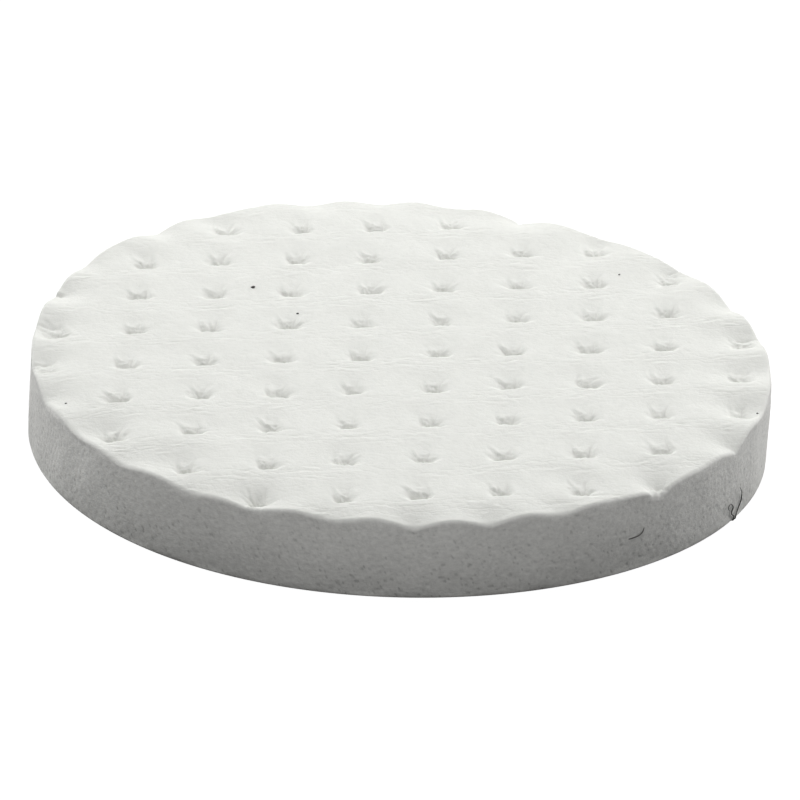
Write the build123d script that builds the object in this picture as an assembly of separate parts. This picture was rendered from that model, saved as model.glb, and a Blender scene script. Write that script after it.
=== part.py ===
from build123d import *

import math
import os

# Felt polishing wheel: a thick white felt disc with pinched dimples in its working
# face, and a loop backing on its underside that sticks to a hook-faced holder.
# Millimetres. The axis of the wheel is Z. The origin is the centre of the underside,
# where the loops rest. X runs along the rows of dimples.

# Felt pad
PAD_DIAMETER = 100.0  # at its lower edge, the widest line of the wheel
PAD_TOP_DIAMETER = 99.8  # the die-cut wall leans in very little towards the face
PAD_THICKNESS = 12.5
RIM_ROUNDING = 0.6

# Dimples in the working face, on a leaning lattice
DIMPLE_PITCH = 10.56  # the same along a row and along a column
COLUMN_ANGLE = 77.0  # degrees from the row direction to the column direction
LATTICE_SHIFT = (-0.3, 1.5)  # the disc is cut without regard to the dimples
ROWS_EACH_SIDE = 5  # rows on each side of the middle row
COLUMNS_EACH_SIDE = 7
COLUMN_OFFSET = 0.5  # the lattice is centred midway between two dimples
MOUTH_RADIUS = 3.1
THROAT_RADIUS = 0.9
BELL_DEPTH = 2.0  # from the face down to where the throat starts
DIMPLE_DEPTH = 3.6
RIM_REACH = 1.8  # dimples centred this far outside the face still notch its rim
MIN_RIM_WALL = 2.0  # dimples centred nearer than this to the rim have no throat

# Loop backing, recessed from the pad's lower edge
BACKING_DIAMETER = 92.0
BOND_THICKNESS = 0.2
CLOTH_THICKNESS = 0.6
PILE_HEIGHT = 0.8
PILE_DIAMETER = 91.0

# Loose backing fibres that have worked out past the edge
FIBRE_DIAMETER = 0.18
FIBRE_ROOT_RADIUS = 45.0  # where an edge fibre is still knitted into the cloth
WALL_CLEARANCE = 0.25  # from the wall to the middle of a fibre that lies along it

CLOTH_Z = PILE_HEIGHT
BOND_Z = CLOTH_Z + CLOTH_THICKNESS
PAD_Z = BOND_Z + BOND_THICKNESS
FACE_Z = PAD_Z + PAD_THICKNESS


def wall_radius(height):
    """Radius of the pad's wall at a height above its lower edge."""
    bottom_radius = PAD_DIAMETER / 2
    top_radius = PAD_TOP_DIAMETER / 2
    return bottom_radius + (top_radius - bottom_radius) * height / PAD_THICKNESS


def dimple_centres():
    """Places of the dimples whose bells reach the working face."""
    lean = math.radians(COLUMN_ANGLE)
    limit = PAD_TOP_DIAMETER / 2 + RIM_REACH
    centres = []
    for row in range(-ROWS_EACH_SIDE, ROWS_EACH_SIDE + 1):
        for column in range(-COLUMNS_EACH_SIDE, COLUMNS_EACH_SIDE):
            x = LATTICE_SHIFT[0] + DIMPLE_PITCH * (column + COLUMN_OFFSET + row * math.cos(lean))
            y = LATTICE_SHIFT[1] + DIMPLE_PITCH * row * math.sin(lean)
            if math.hypot(x, y) < limit:
                centres.append((x, y))
    return centres


def bell_cutter():
    """The flared upper part of one dimple, with its mouth at z = 0."""
    clearance = 1.0
    with BuildPart() as cutter:
        with BuildSketch(Plane.XZ):
            with BuildLine():
                bell = TangentArc((THROAT_RADIUS, -BELL_DEPTH), (MOUTH_RADIUS, 0), tangent=(0, 1))
                Polyline(
                    bell @ 1,
                    (MOUTH_RADIUS, clearance),
                    (0, clearance),
                    (0, -BELL_DEPTH),
                    bell @ 0,
                )
            make_face()
        revolve(axis=Axis.Z)
    return cutter.part


def throat_cutter():
    """The narrow round-ended hole at the bottom of a bell."""
    overlap = 0.2
    straight = DIMPLE_DEPTH - THROAT_RADIUS - BELL_DEPTH
    shaft = Cylinder(THROAT_RADIUS, straight + overlap, align=(Align.CENTER, Align.CENTER, Align.MIN))
    shaft_start = THROAT_RADIUS - DIMPLE_DEPTH
    return Pos(0, 0, shaft_start) * (shaft + Sphere(THROAT_RADIUS))


def felt_pad():
    """The thick felt disc. Dimples that the die cut through are only notches in its rim."""
    bottom_radius = PAD_DIAMETER / 2
    top_radius = PAD_TOP_DIAMETER / 2
    with BuildPart() as pad:
        with BuildSketch(Plane.XZ):
            with BuildLine():
                Polyline(
                    (0, PAD_Z),
                    (bottom_radius, PAD_Z),
                    (top_radius, FACE_Z),
                    (0, FACE_Z),
                    close=True,
                )
            make_face()
        revolve(axis=Axis.Z)
        rim = pad.edges().filter_by(GeomType.CIRCLE).sort_by(Axis.Z)[-1]
        fillet(rim, RIM_ROUNDING)
    bell = bell_cutter()
    throat = throat_cutter()
    cutters = []
    for x, y in dimple_centres():
        cutters.append(Pos(x, y, FACE_Z) * bell)
        if math.hypot(x, y) < top_radius - MIN_RIM_WALL:
            cutters.append(Pos(x, y, FACE_Z) * throat)
    return pad.part - cutters


def disc(diameter, bottom, thickness):
    """A flat round layer of the backing."""
    layer = Cylinder(diameter / 2, thickness, align=(Align.CENTER, Align.CENTER, Align.MIN))
    return Pos(0, 0, bottom) * layer


def round_the_wheel(angle, radius, z):
    """A point given by its angle about the wheel's axis, in degrees."""
    turn = math.radians(angle)
    return Vector(radius * math.cos(turn), radius * math.sin(turn), z)


def on_the_wall(angle, height):
    """A point just off the pad's wall, at a height above its lower edge."""
    return round_the_wheel(angle, wall_radius(height) + WALL_CLEARANCE, PAD_Z + height)


def bend_radii(points):
    """The largest arc that each corner of a fibre leaves room for."""
    radii = []
    for before, corner, after in zip(points, points[1:], points[2:]):
        run_in = corner - before
        run_out = after - corner
        turn = math.radians(run_in.get_angle(run_out))
        shorter_run = min(run_in.length, run_out.length)
        radii.append(0.45 * shorter_run / math.tan(turn / 2))
    return radii


def fibre(points):
    """A loose fibre along a route of straight runs joined by tangent arcs."""
    route = FilletPolyline(*points, radius=bend_radii(points))
    start = Plane(origin=route @ 0, z_dir=route % 0)
    return sweep(start * Circle(FIBRE_DIAMETER / 2), path=route)


def edge_fibre(angle, wall_points):
    """A fibre knitted into the cloth, out under the pad and up its wall."""
    out_angle = wall_points[0][0]
    middle_of_cloth = CLOTH_Z + CLOTH_THICKNESS / 2
    lower_edge = PAD_DIAMETER / 2
    points = [
        round_the_wheel(angle, FIBRE_ROOT_RADIUS, middle_of_cloth),
        round_the_wheel((angle + out_angle) / 2, lower_edge - 2.0, middle_of_cloth),
        round_the_wheel(out_angle, lower_edge + WALL_CLEARANCE, PAD_Z - 0.4),
    ]
    points += [on_the_wall(*point) for point in wall_points]
    return fibre(points)


def edge_fibres():
    """Two fibres side by side: one curls back on itself, the other stands up."""
    curled = edge_fibre(
        -35.2,
        [(-35.9, 0.7), (-36.8, 1.5), (-36.4, 2.2), (-37.3, 3.0), (-38.4, 3.2), (-38.5, 2.7), (-37.6, 2.0)],
    )
    upright = edge_fibre(-34.4, [(-35.1, 0.6), (-34.4, 1.4), (-33.4, 2.2), (-33.4, 3.2), (-34.7, 4.6)])
    return Compound(children=[curled, upright])


def wall_fibre():
    """A short fibre caught in the wall, with both ends buried in the felt."""
    burial = 0.8
    surface_points = [on_the_wall(-61.1, 4.85), on_the_wall(-60.1, 5.0), on_the_wall(-59.4, 5.4)]
    first = round_the_wheel(-62.0, wall_radius(4.8) - burial, PAD_Z + 4.8)
    last = round_the_wheel(-59.0, wall_radius(6.0) - burial, PAD_Z + 6.0)
    return fibre([first] + surface_points + [last])


def main():
    os.makedirs("parts", exist_ok=True)
    parts = {
        "felt_pad": felt_pad(),
        "bond_film": disc(BACKING_DIAMETER, BOND_Z, BOND_THICKNESS),
        "backing_cloth": disc(BACKING_DIAMETER, CLOTH_Z, CLOTH_THICKNESS),
        "loop_pile": disc(PILE_DIAMETER, 0, PILE_HEIGHT),
        "edge_fibres": edge_fibres(),
        "wall_fibre": wall_fibre(),
    }
    for name, shape in parts.items():
        export_step(shape, f"parts/{name}.step")


main()
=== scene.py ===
"""Looks of the felt polishing wheel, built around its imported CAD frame.

Lengths in the shapes are millimetres. Lengths in materials, lights and camera are metres.
"""

import math

import bpy
import numpy as np
from mathutils import Matrix, Vector


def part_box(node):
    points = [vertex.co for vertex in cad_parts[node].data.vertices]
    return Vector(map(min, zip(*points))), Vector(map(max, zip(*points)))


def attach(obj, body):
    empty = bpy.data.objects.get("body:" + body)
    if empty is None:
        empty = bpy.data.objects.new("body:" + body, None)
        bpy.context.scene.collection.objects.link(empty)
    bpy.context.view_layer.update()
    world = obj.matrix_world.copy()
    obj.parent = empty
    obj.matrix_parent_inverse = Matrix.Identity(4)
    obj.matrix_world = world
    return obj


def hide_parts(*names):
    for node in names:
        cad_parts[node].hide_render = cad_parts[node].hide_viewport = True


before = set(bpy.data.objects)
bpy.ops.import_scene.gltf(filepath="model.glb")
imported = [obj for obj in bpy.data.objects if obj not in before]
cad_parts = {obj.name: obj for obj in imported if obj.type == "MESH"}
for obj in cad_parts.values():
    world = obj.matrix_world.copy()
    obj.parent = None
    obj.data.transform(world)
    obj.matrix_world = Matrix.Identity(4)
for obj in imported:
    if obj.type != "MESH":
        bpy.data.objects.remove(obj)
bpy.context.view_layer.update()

MM = 0.001
BODY = "root"

# ---------------------------------------------------------------- sizes, from the frame
pad_low, pad_high = (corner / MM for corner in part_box("felt_pad"))
film_low, film_high = (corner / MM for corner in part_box("bond_film"))
cloth_low, cloth_high = (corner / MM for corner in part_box("backing_cloth"))
pile_low, pile_high = (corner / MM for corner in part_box("loop_pile"))
PAD_RADIUS = pad_high.x
PAD_BOTTOM = pad_low.z
PAD_HEIGHT = pad_high.z - pad_low.z
CLOTH_RADIUS = cloth_high.x
PILE_RADIUS = pile_high.x

# ---------------------------------------------------------------- the felt pad's shape
FACE_OFFSET = -0.02  # from the top of the CAD pad to the plane that the face is built on
FACE_SLOPE = 0.021  # the pad is a little thicker on the side that leans away from the camera
SLOPE_DIRECTION = (0.20, 0.98)
WALL_LEAN = 0.0017  # share of the radius that the wall loses from its foot to its top
# Waves round the wheel, each with its number of crests, its size and its phase in radians
OUTLINE_WAVES = ((2, 0.0064, -1.16), (3, 0.0087, 1.03))  # shares of the radius
RIM_WAVES = ((1, 0.21, -0.99), (2, 0.155, 0.69), (3, 0.32, -1.09))  # heights of the cut edge
RIM_WAVE_REACH = 9.0  # how far in from the cut they fade out

PITCH = 0.2112 * PAD_RADIUS
COLUMN_ANGLE = math.radians(77.0)
LATTICE_SHIFT = (-0.3, 1.45)
LATTICE_ROWS = range(-6, 7)
LATTICE_COLUMNS = range(-8, 8)
OUTER_DIMPLES = 6.5  # dimples centred this far outside the cut still shape its rim
DIMPLE_SEED = 41
CREASE_SEED = 87

# Ripples of the face: height, wavelength and seed
FACE_RIPPLES = ((0.04, 11.0, 5), (0.004, 2.4, 6), (0.006, 1.0, 7))
FAN_GRAIN = (0.042, 0.7, 8)  # only where the felt is crumpled into pleats
PAINTED_FAN_SHADE_MOTTLE = (0.7, 0.9, 9)  # the same, of the painted shade over it
PAINTED_FAN_SHADE = 0.20  # painted shade over the fans of pleats, where the line of a pinch is 1

# How the face's grid of points is drawn towards the dimples
CROWD_REACH = 4.2
CROWD_PULL = 0.48
CROWD_SHIFT = -1.8  # from a dimple's centre towards its pinch
CROWD_MARGIN = 3.0  # from the cut to where the pull is whole

FACE_CELLS = 340
WALL_ROWS = 34
RIM_ROUNDING = 0.50
RIM_STEPS = 5
FOOT_ROUNDING = 0.30
FOOT_STEPS = 4
UNDERSIDE_RINGS = (PAD_RADIUS - 2.0, PAD_RADIUS - 4.5, 0.5 * PAD_RADIUS)

# The cut wall. Each of its ripples has a height, a wavelength and a seed.
PIT_RIPPLES = ((0.7, 1.0, 11), (0.7, 0.6, 12))
PIT_THRESHOLD = 1.15  # a pit opens where the sum of those ripples rises past this
PIT_LIMIT = 1.2
PIT_DEPTH = 0.05
PITS_AT_FOOT = 1.2  # how strongly the pits show at the foot of the wall, in depth and in painted shade
PITS_LOST_ABOVE = 0.7  # how much of that they lose towards its top
FINE_GRAIN = (0.014, 0.8, 13)
BROAD_GRAIN = (0.05, 7.0, 14)
FLATTENED = (1, 1, 1.5)  # features that are wider than they are tall
RAISED = (1, 1, 0.6)  # features that are taller than they are wide
GRAIN_FADE_AT_FOOT = 0.8
GRAIN_FADE_AT_TOP = 1.0


def smooth(t):
    """A soft step from 0 to 1 as t goes from 0 to 1."""
    t = np.clip(t, 0.0, 1.0)
    return t * t * (3.0 - 2.0 * t)


def ripple(points, wavelength, seed, waves=70):
    """A random field with unit spread and features about half a wavelength wide."""
    random = np.random.default_rng(seed)
    direction = random.normal(size=(waves, 3))
    direction /= np.linalg.norm(direction, axis=1)[:, None]
    number = 2 * math.pi / wavelength * random.uniform(0.6, 1.5, waves)
    phase = random.uniform(0, 2 * math.pi, waves)
    total = np.zeros(len(points))
    for k in range(waves):
        total += np.sin(points @ (direction[k] * number[k]) + phase[k])
    return total * math.sqrt(2.0 / waves)


def flat_points(x, y):
    """Points in the plane of the face."""
    return np.stack([x, y, np.zeros_like(x)], axis=1)


def waves_round(angle, waves):
    """The sum of waves round the wheel at each angle."""
    return sum(size * np.cos(crests * angle + phase) for crests, size, phase in waves)


def cut_radius(angle, z):
    """Radius of the die-cut wall, which is a little out of round and leans in very little."""
    lean = WALL_LEAN * (z - PAD_BOTTOM) / PAD_HEIGHT
    return PAD_RADIUS * (1 + waves_round(angle, OUTLINE_WAVES)) * (1 - lean)


def inset_of(x, y):
    """How far each point lies inside the pad's outline."""
    return cut_radius(np.arctan2(y, x), PAD_BOTTOM) - np.hypot(x, y)


def rim_lift(x, y):
    """How far the cut edge stands above the plane of the face, which differs round the wheel."""
    lift = waves_round(np.arctan2(y, x), RIM_WAVES)
    return lift * (1 - smooth(inset_of(x, y) / RIM_WAVE_REACH))


class Dimple:
    """One pinched dimple: the felt sinks towards it, and pleats fan out from a pinch at its near side.

    Near the cut the felt is free to sink deeper and wider, mostly away from the middle of the wheel.
    """

    RIM_ZONE = (3.0, 9.0)  # insets at which a dimple is wholly a rim dimple, and not one at all
    PINCH_ZONE = (0.6, 2.8)  # insets at which a dimple has no pinch, and a whole one
    FRONT_ZONE = (2.5, 5.5)  # insets at which a front dimple's pinch is drawn in, and left in place
    DRAWN_IN = 1.7  # how far it is drawn in from the rim
    BELL_FADE_REACH = 7.0  # how far in from the cut a rim dimple's bell loses most of its depth
    FUNNEL_FALL = 3.1  # how steeply the funnel drops towards the pinch
    FAN_SHARPNESS = 1.3  # how narrowly the funnel keeps to the fan's direction
    LOBES = (3, 5, 8)  # numbers of bumps round the funnel's lip
    PLEAT_START = (0.2, 0.8)  # distances from the pinch where a pleat starts, and where it is whole
    PLEAT_FADE = 0.4  # the share of its length after which it fades
    PLEAT_TURN = 1.5  # pleats are cut off this far from their own direction, in radians
    PAINTED_PINCH_SHADE = (0.42, 0.55)  # spread of the painted shade round the pinch, along and across it
    PAINTED_PINCH_SHADE_SHIFT = 0.12
    FAN_CENTRE = 1.3  # from the pinch to the middle of its fan
    FAN_RADIUS = 2.8

    def __init__(self, x, y, random):
        self.x = x + random.normal(0, 0.08)
        self.y = y + random.normal(0, 0.10)
        self.inset = float(inset_of(np.array(x), np.array(y)))
        self.outwards = math.atan2(y, x)
        at_rim = 1 - self.ramp(self.RIM_ZONE)
        self.sink = random.uniform(0.9, 1.1) * (0.25 + 1.25 * at_rim)
        self.reach = 4.4 + 2.8 * at_rim
        self.fall = 1.5 + 0.4 * at_rim
        self.fade = 0.65 * at_rim
        self.stretch = 1 + 0.45 * at_rim
        self.strength = self.ramp(self.PINCH_ZONE)
        self.depth = random.uniform(1.15, 1.4) * self.strength
        at_front = max(0.0, -math.sin(self.outwards)) * (1 - self.ramp(self.FRONT_ZONE))
        self.pinch = (random.normal(-0.15, 0.12), random.normal(-3.15, 0.14) + self.DRAWN_IN * at_front)
        self.fan_turn = math.pi / 2 + random.normal(0, 0.18)
        self.slot = random.uniform(0.42, 0.70)
        self.near_lip = random.uniform(0.42, 0.56)
        self.fan_length = random.uniform(2.8, 3.5)
        self.lobes = [self.lobe(count, random) for count in self.LOBES]
        self.pleats = [self.pleat(random) for _ in range(random.integers(8, 13))]

    def ramp(self, zone):
        """From 0 to 1 as the dimple's inset goes from the zone's first value to its second."""
        return float(smooth((self.inset - zone[0]) / (zone[1] - zone[0])))

    def lobe(self, count, random):
        """A wave round the funnel's lip: its number of crests, its size and its phase."""
        return count, random.uniform(0.02, 0.09), random.uniform(0, 2 * math.pi)

    def pleat(self, random):
        """One fine fold that runs out from the pinch."""
        return {
            "angle": self.fan_turn + random.normal(0, 0.95),
            "length": random.uniform(1.3, 3.8),
            "depth": random.uniform(0.04, 0.12) * self.strength,
            "width": random.uniform(0.10, 0.19),
            "bend": random.uniform(-0.12, 0.12),
        }

    def bell(self, x, y, radius):
        """The wide soft hollow round the dimple."""
        hollow = -self.sink * (1 - radius / self.reach) ** self.fall
        return hollow * (1 - self.fade * smooth(inset_of(x, y) / self.BELL_FADE_REACH))

    def funnel(self, r, angle):
        """The steep hollow at the pinch, short on its near side and long towards the fan."""
        ahead = (1 + np.cos(angle - self.fan_turn)) / 2
        lip = self.near_lip + self.fan_length * ahead**self.FAN_SHARPNESS
        for count, size, phase in self.lobes:
            lip *= 1 + size * np.cos(count * angle + phase)
        return -self.depth * (1 - np.clip(r / lip, 0, 1)) ** self.FUNNEL_FALL

    def folds(self, r, spread):
        """The pleats, from the distance to the pinch's line and the direction from its middle."""
        start, whole = self.PLEAT_START
        total = np.zeros_like(r)
        for pleat in self.pleats:
            off = spread - pleat["angle"] - pleat["bend"] * r
            off = np.arctan2(np.sin(off), np.cos(off))
            share = r / pleat["length"]
            along = smooth((r - start) / (whole - start))
            along *= 1 - smooth((share - self.PLEAT_FADE) / (1 - self.PLEAT_FADE))
            across = np.exp(-((off * r / pleat["width"]) ** 2)) * (np.abs(off) < self.PLEAT_TURN)
            total -= pleat["depth"] * along * across
        return total

    def height(self, x, y):
        """How the dimple changes the face's height at each point."""
        dx = x - self.x
        dy = y - self.y
        outward = dx * math.cos(self.outwards) + dy * math.sin(self.outwards)
        sideways = dy * math.cos(self.outwards) - dx * math.sin(self.outwards)
        radius = np.hypot(outward / self.stretch, sideways)
        near = radius < self.reach
        dx = dx[near] - self.pinch[0]
        dy = dy[near] - self.pinch[1]
        beyond = dx - np.clip(dx, -self.slot, self.slot)
        r = np.hypot(beyond, dy)
        change = np.zeros_like(x)
        change[near] = self.bell(x[near], y[near], radius[near])
        change[near] += self.funnel(r, np.arctan2(dy, beyond)) + self.folds(r, np.arctan2(dy, dx))
        return change

    def shade(self, x, y):
        """Painted shade along the pinch: how deep in it each point lies, from 1 at its line to 0 outside
        it.
        """
        along, across = self.PAINTED_PINCH_SHADE
        dx = x - self.x - self.pinch[0]
        dx = dx - np.clip(dx, -self.slot, self.slot)
        dy = y - self.y - self.pinch[1] - self.PAINTED_PINCH_SHADE_SHIFT
        return self.strength * np.exp(-((dx / along) ** 2) - (dy / across) ** 2)

    def roughness(self, x, y):
        """How crumpled the felt is at each point, from 1 inside the fan of pleats to 0 away from it."""
        dx = x - self.x - self.pinch[0]
        dy = y - self.y - self.pinch[1] - self.FAN_CENTRE
        return self.strength * (1 - smooth(np.hypot(dx, dy) / self.FAN_RADIUS))


class Crease:
    """A short wrinkle in the skin of the face: a fine groove with a swelling along one side."""

    MARGIN = 1.5  # past its ends, room for its width
    WANDER = 0.06  # how far it strays to each side of its line
    WANDER_RATE = 3.0  # radians for each millimetre along it
    SWELLING = 0.55  # height, as a share of the groove's depth
    SWELLING_SHIFT = 2.0  # from the groove's line, in widths of the groove
    SWELLING_WIDTH = 1.7  # in widths of the groove

    def __init__(self, x, y, turn, half, width, depth, random):
        self.x = x
        self.y = y
        self.cos = math.cos(turn)
        self.sin = math.sin(turn)
        self.half = half
        self.depth = depth
        self.width = width
        self.bow = random.uniform(-0.02, 0.10)
        self.wander = random.uniform(0, 2 * math.pi)

    def height(self, x, y):
        """How the crease changes the face's height at each point."""
        dx = x - self.x
        dy = y - self.y
        change = np.zeros_like(x)
        near = np.abs(dx) + np.abs(dy) < 2 * self.half + self.MARGIN
        along = dx[near] * self.cos + dy[near] * self.sin
        across = dy[near] * self.cos - dx[near] * self.sin
        across += self.bow * along**2 - self.WANDER * np.sin(self.WANDER_RATE * along + self.wander)
        window = 1 - smooth(np.abs(along) / self.half)
        widths = across / self.width
        groove = np.exp(-(widths**2))
        swelling = np.exp(-(((widths + self.SWELLING_SHIFT) / self.SWELLING_WIDTH) ** 2))
        change[near] = self.depth * window * (self.SWELLING * swelling - groove)
        return change


def lattice_points():
    """The places of the pinched points that shape the cut disc."""
    points = []
    for row in LATTICE_ROWS:
        for column in LATTICE_COLUMNS:
            x = LATTICE_SHIFT[0] + PITCH * (column + 0.5 + row * math.cos(COLUMN_ANGLE))
            y = LATTICE_SHIFT[1] + PITCH * row * math.sin(COLUMN_ANGLE)
            if math.hypot(x, y) < PAD_RADIUS + OUTER_DIMPLES:
                points.append((x, y))
    return points


def make_dimples():
    """The dimples, no two alike."""
    random = np.random.default_rng(DIMPLE_SEED)
    return [Dimple(x, y, random) for x, y in lattice_points()]


def arms(dimple, random):
    """Two folds that spread in a V from the ends of a dimple's pinch."""
    pair = []
    for side in (-1, 1):
        x = dimple.x + dimple.pinch[0] + side * (dimple.slot + random.uniform(0.35, 0.65))
        y = dimple.y + dimple.pinch[1] + random.uniform(1.8, 2.5)
        turn = dimple.fan_turn - side * random.uniform(0.14, 0.34)
        half, width = random.uniform(2.0, 2.8), random.uniform(0.20, 0.30)
        depth = random.uniform(0.13, 0.22) * dimple.strength
        pair.append(Crease(x, y, turn, half, width, depth, random))
    return pair


def wrinkles(dimple, random):
    """Fine wrinkles along the rows, about midway to the next row."""
    group = []
    for _ in range(random.integers(4, 8)):
        x = dimple.x + random.normal(0, 2.2)
        y = dimple.y + PITCH * random.normal(0.47, 0.10)
        half, width = random.uniform(0.7, 2.4), random.uniform(0.17, 0.26)
        turn, depth = random.normal(0, 0.15), random.uniform(0.03, 0.10)
        group.append(Crease(x, y, turn, half, width, depth, random))
    return group


def marks(dimple, random):
    """Faint short marks anywhere in a dimple's cell, running any way."""
    group = []
    for _ in range(4):
        x = dimple.x + random.uniform(-0.5, 0.5) * PITCH
        y = dimple.y + random.uniform(-0.5, 0.5) * PITCH
        half, width = random.uniform(0.4, 1.2), random.uniform(0.16, 0.22)
        turn, depth = random.normal(0, 0.8), random.uniform(0.02, 0.05)
        group.append(Crease(x, y, turn, half, width, depth, random))
    return group


def rim_folds(dimple, random):
    """Folds from a dimple that the cut passes through or close to, out to the rim."""
    near_cut = 3.5
    offset = 1.4  # from the dimple to the middle of a fold
    width = 0.24
    pair = []
    if abs(dimple.inset) < near_cut:
        outwards = math.atan2(dimple.y, dimple.x) + random.normal(0, 0.5)
        for side in (-1, 1):
            turn = outwards + side * random.uniform(0.1, 0.7)
            x = dimple.x + offset * math.cos(turn)
            y = dimple.y + offset * math.sin(turn)
            half, depth = random.uniform(1.8, 3.0), random.uniform(0.12, 0.26)
            pair.append(Crease(x, y, turn, half, width, depth, random))
    return pair


def make_creases():
    """Every crease of the face, dimple by dimple."""
    random = np.random.default_rng(CREASE_SEED)
    creases = []
    for dimple in DIMPLES:
        for kind in (arms, wrinkles, marks, rim_folds):
            creases += kind(dimple, random)
    return creases


DIMPLES = make_dimples()
CREASES = make_creases()


def face_height(x, y):
    """Height of the working face at each point, above the rest plane."""
    uphill = SLOPE_DIRECTION[0] * x + SLOPE_DIRECTION[1] * y
    height = pad_high.z + FACE_OFFSET + FACE_SLOPE * uphill + rim_lift(x, y)
    for dimple in DIMPLES:
        height += dimple.height(x, y)
    for crease in CREASES:
        height += crease.height(x, y)
    flat = flat_points(x, y)
    for size, wavelength, seed in FACE_RIPPLES:
        height += size * ripple(flat, wavelength, seed)
    size, wavelength, seed = FAN_GRAIN
    height += size * crumpled(x, y) * ripple(flat, wavelength, seed)
    return height


def crumpled(x, y):
    """How crumpled the felt is at each point, by whichever dimples are near."""
    return np.clip(sum(dimple.roughness(x, y) for dimple in DIMPLES), 0, 1)


def painted_pinch_and_fan_shade(x, y):
    """Painted shade at each point: darkest along a pinch, mottled over its fan."""
    size, wavelength, seed = PAINTED_FAN_SHADE_MOTTLE
    mottle = 1 + size * ripple(flat_points(x, y), wavelength, seed)
    fan = crumpled(x, y)
    pinch = sum(dimple.shade(x, y) for dimple in DIMPLES)
    return np.clip(pinch + PAINTED_FAN_SHADE * fan * mottle, 0, 1)


# ---------------------------------------------------------------- meshes
def new_mesh(name, points, faces, body=BODY):
    """A smooth mesh object from points in millimetres, riding on a body."""
    mesh = bpy.data.meshes.new(name)
    mesh.vertices.add(len(points))
    mesh.vertices.foreach_set("co", (np.asarray(points, float) * MM).ravel())
    sizes = np.array([len(f) for f in faces])
    corners = np.concatenate([np.asarray(f) for f in faces])
    mesh.loops.add(len(corners))
    mesh.loops.foreach_set("vertex_index", corners)
    mesh.polygons.add(len(faces))
    mesh.polygons.foreach_set("loop_start", np.concatenate([[0], np.cumsum(sizes)[:-1]]))
    mesh.polygons.foreach_set("use_smooth", np.ones(len(faces), bool))
    mesh.update(calc_edges=True)
    mesh.validate()
    piece = bpy.data.objects.new(name, mesh)
    bpy.context.scene.collection.objects.link(piece)
    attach(piece, body)
    return piece


def set_attribute(piece, name, values):
    attribute = piece.data.attributes.new(name, "FLOAT", "POINT")
    attribute.data.foreach_set("value", np.asarray(values, np.float32))


def disc_grid(cells):
    """An even grid of points over the unit disc, its quads and its border in order."""
    line = np.linspace(-1, 1, cells + 1)
    a, b = np.meshgrid(line, line, indexing="ij")
    across = a * np.sqrt(1 - b**2 / 2)
    along = b * np.sqrt(1 - a**2 / 2)
    points = np.stack([across.ravel(), along.ravel()], axis=1)
    index = np.arange((cells + 1) ** 2).reshape(cells + 1, cells + 1)
    quads = np.stack(
        [index[:-1, :-1].ravel(), index[1:, :-1].ravel(), index[1:, 1:].ravel(), index[:-1, 1:].ravel()],
        axis=1,
    )
    border = np.concatenate([index[:-1, 0], index[-1, :-1], index[:0:-1, -1], index[0, :0:-1]])
    return points, quads, border


def bridge(above, below):
    """Quads between two closed rings with the same number of points."""
    return np.stack([above, below, np.roll(below, -1), np.roll(above, -1)], axis=1).tolist()


def crowd_to_dimples(points, room):
    """Draws the grid's points towards each dimple, where the shape is finest."""
    moved = points.copy()
    share_inside = np.clip(room / CROWD_MARGIN, 0, 1)
    for dimple in DIMPLES:
        offset = points - [dimple.x, dimple.y + CROWD_SHIFT]
        distance = np.hypot(offset[:, 0], offset[:, 1])
        share = np.clip(1 - (distance / CROWD_REACH) ** 2, 0, 1) ** 2
        moved -= offset * (CROWD_PULL * share * share_inside)[:, None]
    return moved


def wall_pits(cells):
    """How deep in a small pit each point of the cut wall lies, 0 where it has none."""
    flattened = cells * FLATTENED
    openness = sum(size * ripple(flattened, wavelength, seed) for size, wavelength, seed in PIT_RIPPLES)
    pits = np.clip(openness - PIT_THRESHOLD, 0, PIT_LIMIT)
    height = (cells[:, 2] - PAD_BOTTOM) / PAD_HEIGHT
    return pits * (PITS_AT_FOOT - PITS_LOST_ABOVE * smooth(height))


def wall_relief(cells, pits, top):
    """How far each point of the cut wall stands out, with its grain and its pits."""
    size, wavelength, seed = FINE_GRAIN
    relief = size * ripple(cells * FLATTENED, wavelength, seed)
    size, wavelength, seed = BROAD_GRAIN
    relief += size * ripple(cells * RAISED, wavelength, seed)
    from_foot = np.clip((cells[:, 2] - PAD_BOTTOM) / GRAIN_FADE_AT_FOOT, 0, 1)
    from_top = np.clip((top - cells[:, 2]) / GRAIN_FADE_AT_TOP, 0, 1)
    return (relief - PIT_DEPTH * pits) * from_foot * from_top


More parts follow.
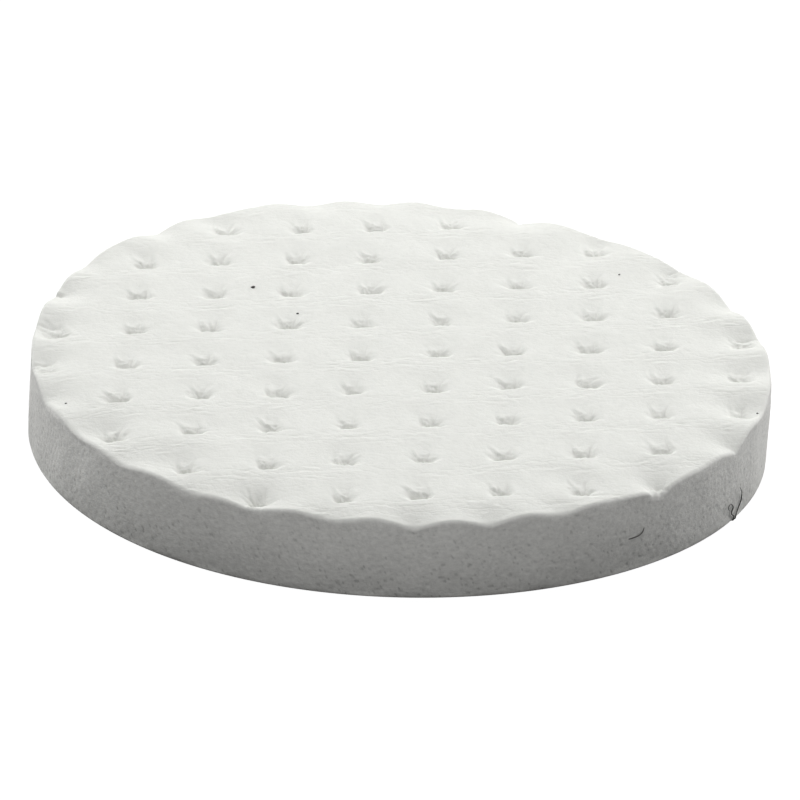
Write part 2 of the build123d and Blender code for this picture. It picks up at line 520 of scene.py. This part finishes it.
def make_pad():
    """The felt pad as one closed mesh: dimpled face, soft rim, porous wall and flat underside."""
    unit, quads, border = disc_grid(FACE_CELLS)
    angle = np.arctan2(unit[:, 1], unit[:, 0])
    top_radius = cut_radius(angle, pad_high.z)
    reach = top_radius - RIM_ROUNDING
    room = reach * (1 - np.hypot(unit[:, 0], unit[:, 1]))
    flat = crowd_to_dimples(unit * reach[:, None], room)
    face = np.column_stack([flat, face_height(flat[:, 0], flat[:, 1])])
    rings = [border]
    points = [face]
    count = len(face)
    around = len(border)
    angle = angle[border]
    cos, sin = np.cos(angle), np.sin(angle)
    top_radius = top_radius[border]

    def add_ring(radius, z):
        nonlocal count
        points.append(np.column_stack([radius * cos, radius * sin, z]))
        rings.append(np.arange(count, count + around))
        count += around

    for step in range(1, RIM_STEPS + 1):
        turn = math.pi / 2 * step / RIM_STEPS
        radius = top_radius - RIM_ROUNDING * (1 - math.sin(turn))
        z = face_height(radius * cos, radius * sin) - RIM_ROUNDING * (1 - math.cos(turn))
        add_ring(radius, z)
    wall_start = count
    top = points[-1][:, 2]
    foot = PAD_BOTTOM + FOOT_ROUNDING
    for row in range(1, WALL_ROWS + 1):
        z = top + (foot - top) * row / WALL_ROWS
        add_ring(cut_radius(angle, z), z)
    wall_end = count
    for step in range(1, FOOT_STEPS + 1):
        turn = math.pi / 2 * step / FOOT_STEPS
        radius = cut_radius(angle, PAD_BOTTOM) - FOOT_ROUNDING * (1 - math.cos(turn))
        add_ring(radius, np.full(around, foot - FOOT_ROUNDING * math.sin(turn)))
    for radius in UNDERSIDE_RINGS:
        add_ring(np.full(around, radius), np.full(around, PAD_BOTTOM))
    points = np.concatenate(points)

    wall = np.zeros(len(points))
    wall[wall_start - around :] = 1.0
    for step in range(1, RIM_STEPS + 1):
        wall[rings[step]] = smooth(np.array(step / RIM_STEPS))
    on_wall = slice(wall_start, wall_end)
    cells = points[on_wall]
    pores = np.zeros(len(points))
    pores[on_wall] = wall_pits(cells)
    relief = wall_relief(cells, pores[on_wall], top.max())
    radius = np.hypot(cells[:, 0], cells[:, 1])
    points[on_wall, 0] += cells[:, 0] / radius * relief
    points[on_wall, 1] += cells[:, 1] / radius * relief

    faces = quads.tolist()
    for above, below in zip(rings, rings[1:]):
        faces += bridge(above, below)
    faces.append(rings[-1][::-1].tolist())
    pad = new_mesh("felt_pad_skin", points, faces)
    set_attribute(pad, "wall", wall)
    # the pits' depth also darkens the wall's colour: painted shade in the pores
    set_attribute(pad, "pore_painted_shade", pores)
    # painted shade of the pinches and fans, on the face's points only
    shade = np.zeros(len(points))
    shade[: len(flat)] = painted_pinch_and_fan_shade(flat[:, 0], flat[:, 1])
    set_attribute(pad, "pinch", shade)
    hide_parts("felt_pad")
    pad.data.materials.append(white_felt())
    return pad


def make_bond_film():
    """The adhesive film, with an uneven bead squeezed out round the edge of the cloth."""
    around = 720
    mean_bead, thinnest, thickest = 0.30, 0.02, 0.9
    angle = np.linspace(0, 2 * math.pi, around, endpoint=False)
    ring = flat_points(np.cos(angle), np.sin(angle))
    edge = ring * film_high.x
    bead = mean_bead + 0.16 * ripple(edge, 5.0, 21) + 0.10 * ripple(edge, 1.8, 22)
    bead = np.clip(bead, thinnest, thickest)
    top, bottom = film_high.z, film_low.z
    middle = (top + bottom) / 2
    # The film's section: how far inside its edge, how much of the bead is added, and the height
    profile = [(-6.0, 0.0, top), (-1.0, 0.0, top), (0.0, 0.7, top), (0.0, 1.0, middle)]
    profile += [(0.0, 0.55, bottom), (-1.0, 0.0, bottom), (-6.0, 0.0, bottom)]
    points = []
    for inset, share, z in profile:
        radius = film_high.x + inset + share * bead
        points.append(np.column_stack([radius * ring[:, 0], radius * ring[:, 1], np.full(around, z)]))
    rings = [np.arange(k * around, (k + 1) * around) for k in range(len(profile))]
    faces = [rings[0].tolist()]
    for above, below in zip(rings, rings[1:]):
        faces += bridge(above, below)
    faces.append(rings[-1][::-1].tolist())
    film = new_mesh("bond_film_bead", np.concatenate(points), faces)
    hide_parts("bond_film")
    film.data.materials.append(adhesive())
    return film


def make_cloth():
    """The knitted ground cloth, ribbed along its wales and cut a little unevenly."""
    cells = 200
    wale, course = 1.6, 1.9  # width of a rib and length of a stitch
    rib_height = 0.16
    trim = 0.15
    unit, quads, border = disc_grid(cells)
    angle = np.arctan2(unit[:, 1], unit[:, 0])
    rim = flat_points(np.cos(angle), np.sin(angle)) * CLOTH_RADIUS
    fray = 0.10 * ripple(rim, 3.0, 31) + 0.06 * ripple(rim, 0.9, 32)
    flat = unit * (CLOTH_RADIUS - trim + fray)[:, None]
    rib = np.abs(np.sin(math.pi * flat[:, 0] / wale)) ** 0.7
    stagger = math.pi * np.floor(flat[:, 0] / wale)
    stitch = 0.5 + 0.5 * np.cos(2 * math.pi * flat[:, 1] / course + stagger)
    swell = rib_height * rib * (0.65 + 0.35 * stitch)
    lower = np.column_stack([flat, cloth_low.z + rib_height - swell])
    upper = np.column_stack([flat, np.full(len(flat), cloth_high.z)])
    count = len(flat)
    faces = (quads + count).tolist()
    faces += quads[:, ::-1].tolist()
    faces += bridge(border + count, border)
    cloth = new_mesh("backing_cloth_knit", np.concatenate([lower, upper]), faces)
    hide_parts("backing_cloth")
    cloth.data.materials.append(backing())
    return cloth


ANY_DIRECTION = (0.31, 0.22, 0.92)  # along none of the tubes, so that each has a first side


def tubes(paths, radii, sides):
    """Points and quads of round tubes that follow paths, each an array of points, with closed ends."""
    points = []
    faces = []
    count = 0
    for path, radius in zip(paths, radii):
        run = np.gradient(path, axis=0)
        run /= np.linalg.norm(run, axis=1)[:, None]
        side = np.cross(run[0], ANY_DIRECTION)
        rings = []
        for k, direction in enumerate(run):
            side = side - direction * (side @ direction)
            side = side / np.linalg.norm(side)
            other = np.cross(direction, side)
            turn = 2 * math.pi * np.arange(sides) / sides
            ring = path[k] + radius[k] * (np.cos(turn)[:, None] * side + np.sin(turn)[:, None] * other)
            points.append(ring)
            rings.append(np.arange(count, count + sides))
            count += sides
        faces.append(rings[0][::-1].tolist())
        for first, second in zip(rings, rings[1:]):
            quads = [first, np.roll(first, -1), np.roll(second, -1), second]
            faces += np.stack(quads, axis=1).tolist()
        faces.append(rings[-1].tolist())
    return np.concatenate(points), faces


def make_pile():
    """The pile: a loop of nylon yarn at nearly every stitch, each leaning its own way."""
    random = np.random.default_rng(53)
    spacing = 1.3
    yarn = 0.075
    root = 0.08  # how far a loop's feet reach into the cloth
    bare_edge = 0.9
    steps = 8
    paths = []
    radii = []
    half_turn = np.linspace(0, math.pi, steps)
    lines = np.arange(-PILE_RADIUS, PILE_RADIUS, spacing)
    for i, x in enumerate(lines):
        for y in lines + spacing * 0.5 * (i % 2):
            cx = x + random.normal(0, 0.18)
            cy = y + random.normal(0, 0.18)
            span = random.uniform(0.35, 0.65)
            turn = random.normal(math.pi / 2, 0.5)
            lean = random.normal(0, 0.25, 2)
            drop = (cloth_low.z - yarn) * random.uniform(0.82, 1.0)
            if math.hypot(cx, cy) > PILE_RADIUS - bare_edge:
                continue
            across = span * np.cos(half_turn) * (1 + 0.5 * np.sin(half_turn))
            down = np.sin(half_turn) ** 0.7
            path = np.column_stack(
                [
                    cx + across * math.cos(turn) + lean[0] * down,
                    cy + across * math.sin(turn) + lean[1] * down,
                    cloth_low.z + root - (drop + root) * down,
                ]
            )
            paths.append(path)
            radii.append(np.full(steps, yarn))
    points, faces = tubes(paths, radii, 4)
    points[:, 2] += pile_low.z - points[:, 2].min()
    pile = new_mesh("loop_pile_yarn", points, faces)
    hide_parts("loop_pile")
    pile.data.materials.append(nylon("loops", (0.040, 0.040, 0.044), (0.085, 0.085, 0.092)))
    return pile


def curve_through(points, steps=9):
    """A smooth line through points."""
    p = np.array(points, float)
    p = np.concatenate([[2 * p[0] - p[1]], p, [2 * p[-1] - p[-2]]])
    line = []
    for a, b, c, d in zip(p, p[1:], p[2:], p[3:]):
        slope = c - a
        bend = 2 * a - 5 * b + 4 * c - d
        twist = 3 * b - a - 3 * c + d
        for t in np.arange(steps) / steps:
            line.append(0.5 * (2 * b + slope * t + bend * t**2 + twist * t**3))
    line.append(p[-2])
    return np.array(line)


def near_wall(angle, height, gap=0.12):
    """A point by the pad's wall, from its angle in degrees and its height above the lower edge."""
    turn = math.radians(angle)
    z = PAD_BOTTOM + height
    radius = float(cut_radius(np.array(turn), z)) + gap
    return (radius * math.cos(turn), radius * math.sin(turn), z)


def from_cloth(angle):
    """Points that bring a fibre out of the cloth's edge and under the pad."""
    turn = math.radians(angle)
    middle = (cloth_low.z + cloth_high.z) / 2
    inner, outer = CLOTH_RADIUS - 1.0, PAD_RADIUS - 1.2
    return [
        (inner * math.cos(turn), inner * math.sin(turn), middle),
        (outer * math.cos(turn), outer * math.sin(turn), cloth_high.z),
    ]


def hair(route, thickness):
    """A fibre's line and its radius, thinning towards its free end."""
    thinning_starts = 0.55  # share of its length
    thinned_by = 0.55
    line = curve_through(route)
    share = np.linspace(0, 1, len(line))
    thinning = smooth((share - thinning_starts) / (1 - thinning_starts))
    return line, thickness / 2 * (1 - thinned_by * thinning)


# Places of the loose fibres along the wall, each as an angle, a height and, where it is not the
# usual one, a gap to the wall. A gap below 0 is a place inside the felt.
CURLED_FIBRE = (
    (-35.5, -0.06, -0.1),
    (-35.9, 0.7),
    (-36.8, 1.45),
    (-36.3, 2.1),
    (-37.3, 2.95, 0.3),
    (-38.4, 3.3, 0.45),
    (-38.6, 2.8, 0.4),
    (-37.6, 2.0, 0.2),
)
UPRIGHT_FIBRE = (
    (-34.9, -0.06, -0.1),
    (-35.0, 0.65),
    (-34.3, 1.4),
    (-33.4, 2.1),
    (-33.4, 3.1, 0.2),
    (-34.0, 3.9, 0.3),
    (-34.8, 4.6, 0.35),
)
CAUGHT_FIBRE = (
    (-62.4, 4.8, -0.3),
    (-61.8, 4.83, 0.03),
    (-61.1, 4.9, 0.1),
    (-60.2, 5.0, 0.14),
    (-59.5, 5.35, 0.12),
    (-59.2, 5.85, 0.04),
    (-59.1, 6.3, -0.3),
)


def along_wall(places):
    """The points of a fibre that lies along the pad's wall."""
    return [near_wall(*place) for place in places]


def make_fibres():
    """The loose backing fibres: two that come up round the lower edge, and one caught in the wall."""
    curled = hair(from_cloth(-35.2) + along_wall(CURLED_FIBRE), thickness=0.18)
    upright = hair(from_cloth(-34.4) + along_wall(UPRIGHT_FIBRE), thickness=0.17)
    points, faces = tubes(*zip(curled, upright), 8)
    edge = new_mesh("edge_fibres_curled", points, faces)
    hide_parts("edge_fibres")

    line, radius = hair(along_wall(CAUGHT_FIBRE), thickness=0.16)
    points, faces = tubes([line], [radius], 8)
    wall = new_mesh("wall_fibre_caught", points, faces)
    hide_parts("wall_fibre")

    look = nylon("loose_fibres", (0.085, 0.084, 0.082), (0.165, 0.160, 0.154))
    for piece in (edge, wall):
        piece.data.materials.append(look)
    return edge, wall


# Grains of dust on the face: X, Y and half the width of each
DUST = (
    (-16.6, 21.4, 0.30),
    (-11.8, 13.0, 0.19),
    (34.9, 22.2, 0.15),
    (-46.9, -10.9, 0.16),
    (45.2, -20.1, 0.16),
)


def ball_points(sides, rows):
    """Points of a unit ball: its top, its rings from above to below, and its bottom."""
    points = [(0, 0, 1)]
    for row in range(1, rows):
        lift = math.pi * row / rows
        for side in range(sides):
            turn = 2 * math.pi * side / sides
            across, along = math.cos(turn), math.sin(turn)
            points.append((math.sin(lift) * across, math.sin(lift) * along, math.cos(lift)))
    points.append((0, 0, -1))
    return np.array(points)


def ball_faces(start, sides, rows):
    """Faces of a ball whose points begin at an index."""
    last = start + sides * (rows - 1) + 1
    rings = [start + 1 + sides * k + np.arange(sides) for k in range(rows - 1)]
    faces = []
    for side in range(sides):
        faces.append([start, rings[0][side], rings[0][(side + 1) % sides]])
        faces.append([last, rings[-1][(side + 1) % sides], rings[-1][side]])
    for above, below in zip(rings, rings[1:]):
        faces += bridge(above, below)
    return faces


def make_specks():
    """A few grains of dark dust on the face, each a lumpy squashed ball."""
    random = np.random.default_rng(77)
    sides, rows = 10, 6
    lumps = 0.16
    points = []
    faces = []
    for x, y, size in DUST:
        ball = ball_points(sides, rows)
        faces += ball_faces(len(points) * len(ball), sides, rows)
        lump = ripple(ball * random.uniform(0.8, 1.2), 1.6, random.integers(1000))
        ball *= (1 + lumps * lump)[:, None]
        z = float(face_height(np.array([x]), np.array([y]))[0])
        points.append(ball * [size, 0.8 * size, 0.6 * size] + [x, y, z + 0.25 * size])
    specks = new_mesh("dust_specks", np.concatenate(points), faces)
    specks.data.materials.append(nylon("dust", (0.055, 0.052, 0.050), (0.12, 0.11, 0.10)))
    return specks


# ---------------------------------------------------------------- materials
class NodeTree:
    """A short way to build a node tree. Values may be numbers, colours or other nodes' outputs."""

    def __init__(self, tree):
        self.tree = tree

    def add(self, kind, **settings):
        node = self.tree.nodes.new(kind)
        for key, value in settings.items():
            if key in node.inputs:
                node.inputs[key].default_value = value
            else:
                setattr(node, key, value)
        return node

    def link(self, source, target):
        self.tree.links.new(source, target)

    def feed(self, target, value):
        if isinstance(value, bpy.types.NodeSocket):
            self.link(value, target)
        else:
            target.default_value = value

    def maths(self, operation, *values):
        node = self.add("ShaderNodeMath", operation=operation)
        for target, value in zip(node.inputs, values):
            self.feed(target, value)
        return node.outputs["Value"]

    def vector_maths(self, operation, *values):
        node = self.add("ShaderNodeVectorMath", operation=operation)
        for target, value in zip(node.inputs, values):
            self.feed(target, value)
        return node.outputs["Vector" if operation == "NORMALIZE" else "Value"]

    def remap(self, value, source, target, interpolation="SMOOTHSTEP"):
        """Moves a value from one range to another, by a soft step unless told otherwise."""
        node = self.add("ShaderNodeMapRange", interpolation_type=interpolation)
        node.inputs["From Min"].default_value, node.inputs["From Max"].default_value = source
        node.inputs["To Min"].default_value, node.inputs["To Max"].default_value = target
        self.link(value, node.inputs["Value"])
        return node.outputs["Result"]


class Nodes(NodeTree):
    """The node tree of one new material."""

    def __init__(self, name):
        self.material = bpy.data.materials.new(name)
        self.material.use_nodes = True
        super().__init__(self.material.node_tree)
        self.shader = self.tree.nodes["Principled BSDF"]

    def place(self):
        return self.add("ShaderNodeTexCoord").outputs["Object"]

    def attribute(self, name):
        return self.add("ShaderNodeAttribute", attribute_name=name).outputs["Fac"]

    def scaled(self, place, scale):
        mapping = self.add("ShaderNodeMapping", Scale=scale)
        self.link(place, mapping.inputs["Vector"])
        return mapping.outputs["Vector"]

    def noise(self, place, scale, detail=3.0, roughness=0.6):
        noise = self.add("ShaderNodeTexNoise", Scale=scale, Detail=detail, Roughness=roughness)
        self.link(place, noise.inputs["Vector"])
        return noise.outputs["Fac"]

    def ramp(self, factor, low, high, start=0.3, end=0.7):
        ramp = self.add("ShaderNodeValToRGB")
        first, last = ramp.color_ramp.elements
        first.position, last.position = start, end
        first.color, last.color = (*low, 1), (*high, 1)
        self.link(factor, ramp.inputs["Fac"])
        return ramp.outputs["Color"]

    def mix(self, factor, first, second, blend="MIX"):
        """Two colours mixed by a factor. A mix node keeps its colours in inputs 6 and 7, output 2."""
        node = self.add("ShaderNodeMix", data_type="RGBA", blend_type=blend)
        self.link(factor, node.inputs["Factor"])
        self.feed(node.inputs[6], first)
        self.feed(node.inputs[7], second)
        return node.outputs[2]

    def bump(self, height, strength, distance):
        bump = self.add("ShaderNodeBump", Strength=strength, Distance=distance)
        self.link(height, bump.inputs["Height"])
        self.link(bump.outputs["Normal"], self.shader.inputs["Normal"])

    def set(self, **values):
        for key, value in values.items():
            self.shader.inputs[key.replace("_", " ")].default_value = value


def skin_wrinkles(n, place, on_wall):
    """The finest wrinkles of the face: thin lines along the rows, gathered midway between them."""
    half_line = 0.06  # of the noise's value, to each side of its middle
    between_rows = 0.47
    field = n.noise(n.scaled(place, (0.30, 1, 1)), 620.0, 2.0, 0.5)
    distance = n.maths("ABSOLUTE", n.maths("SUBTRACT", field, 0.5))
    line = n.remap(distance, (0.0, half_line), (-1.0, 0.0))
    split = n.add("ShaderNodeSeparateXYZ")
    n.link(place, split.inputs[0])
    row = PITCH * math.sin(COLUMN_ANGLE) * MM
    start = LATTICE_SHIFT[1] * MM / row + between_rows
    phase = n.maths("MULTIPLY_ADD", split.outputs["Y"], 2 * math.pi / row, -2 * math.pi * start)
    band = n.remap(n.maths("COSINE", phase), (-0.2, 0.9), (0.10, 0.40))
    on_face = n.maths("SUBTRACT", 1.0, on_wall)
    return n.maths("MULTIPLY", line, n.maths("MULTIPLY", band, on_face))


def white_felt():
    """White felt: near-even on the skin of the face, open-grained with small pores on the cut wall. Its
    colour holds painted shade in the pores, along each pinch and over each fan.
    """
    # tint of the painted shade in the wall's pores
    painted_pore_shade_tint = (0.74, 0.74, 0.74, 1)
    # tint of the painted shade along the pinches and over their fans
    painted_pinch_shade_tint = (0.82, 0.82, 0.81, 1)
    n = Nodes("white_felt")
    n.set(Roughness=0.95, Specular_IOR_Level=0.12)
    place = n.place()
    flattened = n.scaled(place, FLATTENED)
    on_wall = n.attribute("wall")
    face = n.ramp(n.noise(place, 650.0, 4.0), (0.838, 0.845, 0.806), (0.876, 0.883, 0.844))
    grain = n.noise(flattened, 1300.0, 4.0, 0.7)
    wall = n.ramp(grain, (0.745, 0.744, 0.719), (0.905, 0.903, 0.873), 0.32, 0.64)
    colour = n.mix(on_wall, face, wall)
    # painted shade in the pores of the cut wall
    colour = n.mix(n.attribute("pore_painted_shade"), colour, painted_pore_shade_tint, "MULTIPLY")
    # painted shade: darker along each dimple's pinch and over its fan of pleats
    colour = n.mix(n.attribute("pinch"), colour, painted_pinch_shade_tint, "MULTIPLY")
    n.link(colour, n.shader.inputs["Base Color"])
    nap = n.noise(flattened, 1700.0, 4.0, 0.65)
    n.bump(n.maths("ADD", nap, skin_wrinkles(n, place, on_wall)), 0.6, 0.00012)
    return n.material


def adhesive():
    """Cured hot-melt film, a little cloudy and yellowed."""
    n = Nodes("adhesive")
    n.set(Roughness=0.45, Specular_IOR_Level=0.4)
    place = n.place()
    colour = n.ramp(n.noise(place, 420.0, 4.0), (0.46, 0.44, 0.38), (0.62, 0.60, 0.54))
    n.link(colour, n.shader.inputs["Base Color"])
    n.bump(n.noise(place, 900.0), 0.4, 0.0001)
    return n.material


def backing():
    """Dark knitted nylon, with the stitch pattern running along and across the wales."""
    n = Nodes("backing")
    n.set(Roughness=0.8, Specular_IOR_Level=0.3, Sheen_Weight=0.25, Sheen_Roughness=0.5)
    place = n.place()
    wales = n.add("ShaderNodeTexWave", Scale=196.0, Distortion=1.2, Detail=2.0)
    wales.inputs["Detail Scale"].default_value = 3.0
    courses = n.add("ShaderNodeTexWave", Scale=330.0, Distortion=2.0, Detail=2.0)
    courses.bands_direction = "Y"
    n.link(place, wales.inputs["Vector"])
    n.link(place, courses.inputs["Vector"])
    weave = n.maths("MULTIPLY", wales.outputs["Fac"], courses.outputs["Fac"])
    colour = n.ramp(weave, (0.032, 0.032, 0.035), (0.080, 0.080, 0.086), 0.1, 0.8)
    n.link(colour, n.shader.inputs["Base Color"])
    n.bump(weave, 0.7, 0.00015)
    return n.material


def nylon(name, dark, light):
    """Nylon fibre, whose shade drifts from one strand to the next."""
    n = Nodes(name)
    n.set(Roughness=0.5, Specular_IOR_Level=0.35, Sheen_Weight=0.15)
    place = n.place()
    n.link(n.ramp(n.noise(place, 700.0, 3.0), dark, light), n.shader.inputs["Base Color"])
    n.bump(n.noise(place, 6000.0, 2.0), 0.3, 0.00003)
    return n.material


# ---------------------------------------------------------------- stage, light and camera
CAMERA_AZIMUTH = math.radians(-11.51)
CAMERA_ELEVATION = math.radians(25.03)
CAMERA_ROLL = math.radians(3.28)
CAMERA_DISTANCE = 1.0286
CAMERA_LENS = 341.0
CAMERA_AIM = (0.727 * MM, 4.841 * MM)  # to the right of and above the middle of the pad's underside
TOWARDS_CAMERA = Vector((math.sin(CAMERA_AZIMUTH), -math.cos(CAMERA_AZIMUTH), 0))

FLOOR_SIZE = 6.0  # from its middle to each side

# Light that the table throws back
BOUNCE_EDGE = (0.055, 0.066)  # from the wheel's axis: where it starts, and where it is whole
BOUNCE_REACH = 0.5
BOUNCE_DROP = -0.0001  # just under the floor, so that the two don't lie in one plane
BOUNCE_STRENGTH = (0.16, 0.46)  # beside and behind the wheel, and straight in front of it

# The sky. Its edges are soft by this much to each side, as parts of its radius.
HORIZON_EDGE = 0.02
SIDE_EDGE = 0.25
SKY_STRENGTH = (0.02, 0.300)  # on the far side, and on the camera's side


def make_floor():
    """A plain pale floor that glows enough to stay near white, and casts no light on the wheel."""
    mesh = bpy.data.meshes.new("floor")
    corners = [(x * FLOOR_SIZE, y * FLOOR_SIZE, 0) for x, y in ((-1, -1), (1, -1), (1, 1), (-1, 1))]
    mesh.from_pydata(corners, [], [(0, 1, 2, 3)])
    floor = bpy.data.objects.new("floor", mesh)
    bpy.context.scene.collection.objects.link(floor)
    n = Nodes("floor")
    n.set(Roughness=1.0, Specular_IOR_Level=0.0, Emission_Strength=1.0)
    n.set(Emission_Color=(1, 1, 1, 1))
    n.set(Base_Color=(0.08, 0.08, 0.08, 1))
    mesh.materials.append(n.material)
    floor.visible_diffuse = False
    floor.visible_shadow = False
    floor.visible_glossy = False
    return floor


def make_bounce():
    """Light thrown back by the table, which the camera doesn't see.

    It is weaker close to the wheel and behind it.
    """
    around = 96
    turn = 2 * math.pi * np.arange(around) / around
    rings = [*BOUNCE_EDGE, BOUNCE_REACH]
    points = [(r * math.cos(a), r * math.sin(a), BOUNCE_DROP) for r in rings for a in turn]
    index = np.arange(len(rings) * around).reshape(len(rings), around)
    faces = bridge(index[0], index[1]) + bridge(index[1], index[2])
    mesh = bpy.data.meshes.new("bounce")
    mesh.from_pydata(points, [], faces)
    bounce = bpy.data.objects.new("bounce", mesh)
    bpy.context.scene.collection.objects.link(bounce)
    n = Nodes("bounce")
    place = n.place()
    away = n.remap(n.vector_maths("LENGTH", place), BOUNCE_EDGE, (0.0, 1.0))
    direction = n.vector_maths("NORMALIZE", place)
    facing = n.vector_maths("DOT_PRODUCT", direction, tuple(TOWARDS_CAMERA))
    in_front = n.remap(facing, (0.0, 1.0), BOUNCE_STRENGTH, "LINEAR")
    n.set(Base_Color=(0, 0, 0, 1), Specular_IOR_Level=0.0, Emission_Color=(1, 1, 1, 1))
    n.link(n.maths("MULTIPLY", away, in_front), n.shader.inputs["Emission Strength"])
    mesh.materials.append(n.material)
    bounce.visible_camera = False
    bounce.visible_glossy = False
    bounce.visible_shadow = False
    return bounce


def make_camera():
    """The camera at the photograph's angle, a little off level, aimed just above the wheel's middle."""
    back = TOWARDS_CAMERA * math.cos(CAMERA_ELEVATION) + Vector((0, 0, math.sin(CAMERA_ELEVATION)))
    level = Vector((math.cos(CAMERA_AZIMUTH), math.sin(CAMERA_AZIMUTH), 0))
    right = math.cos(CAMERA_ROLL) * level + math.sin(CAMERA_ROLL) * back.cross(level)
    middle = Vector((0, 0, PAD_BOTTOM * MM))
    place = middle + CAMERA_DISTANCE * back
    aim = middle + CAMERA_AIM[0] * right + CAMERA_AIM[1] * back.cross(right)
    back = (place - aim).normalized()
    right = (right - right.dot(back) * back).normalized()
    up = back.cross(right)
    camera = bpy.data.objects.new("camera", bpy.data.cameras.new("camera"))
    camera.matrix_world = Matrix(
        (
            (right.x, up.x, back.x, place.x),
            (right.y, up.y, back.y, place.y),
            (right.z, up.z, back.z, place.z),
            (0, 0, 0, 1),
        )
    )
    camera.data.sensor_width = 36.0
    camera.data.lens = CAMERA_LENS
    bpy.context.scene.collection.objects.link(camera)
    bpy.context.scene.camera = camera
    return camera


def soft_light(name, azimuth, elevation, strength, size, distance):
    """A square soft box, its azimuth counted from the camera's, aimed at the wheel."""
    lamp = bpy.data.objects.new(name, bpy.data.lights.new(name, "AREA"))
    lamp.data.size = size
    lamp.data.energy = strength
    turn = CAMERA_AZIMUTH + math.radians(azimuth)
    rise = math.radians(elevation)
    towards = Vector((math.sin(turn) * math.cos(rise), -math.cos(turn) * math.cos(rise), math.sin(rise)))
    lamp.location = distance * towards + Vector((0, 0, PAD_BOTTOM * MM))
    lamp.rotation_euler = towards.to_track_quat("Z", "Y").to_euler()
    bpy.context.scene.collection.objects.link(lamp)
    return lamp


def make_world():
    """Even light from the upper half of the sky on the camera's side."""
    world = bpy.data.worlds.new("studio")
    bpy.context.scene.world = world
    world.use_nodes = True
    n = NodeTree(world.node_tree)
    direction = n.add("ShaderNodeTexCoord").outputs["Generated"]
    height = n.vector_maths("DOT_PRODUCT", direction, (0, 0, 1))
    above = n.remap(height, (-HORIZON_EDGE, HORIZON_EDGE), (0.0, 1.0))
    facing = n.vector_maths("DOT_PRODUCT", direction, tuple(TOWARDS_CAMERA))
    in_front = n.remap(facing, (-SIDE_EDGE, SIDE_EDGE), SKY_STRENGTH)
    background = n.tree.nodes["Background"]
    background.inputs["Color"].default_value = (1, 1, 1, 1)
    n.link(n.maths("MULTIPLY", above, in_front), background.inputs["Strength"])


bpy.context.scene.view_settings.view_transform = "Standard"
make_pad()
make_bond_film()
make_cloth()
make_pile()
make_fibres()
make_specks()
make_floor()
make_bounce()
make_world()
soft_light("left", azimuth=-126, elevation=22, strength=4.4, size=0.5, distance=0.8)
soft_light("right", azimuth=131, elevation=22, strength=5.1, size=0.5, distance=0.8)
soft_light("above", azimuth=0, elevation=89, strength=3.5, size=0.7, distance=1.0)
make_camera()
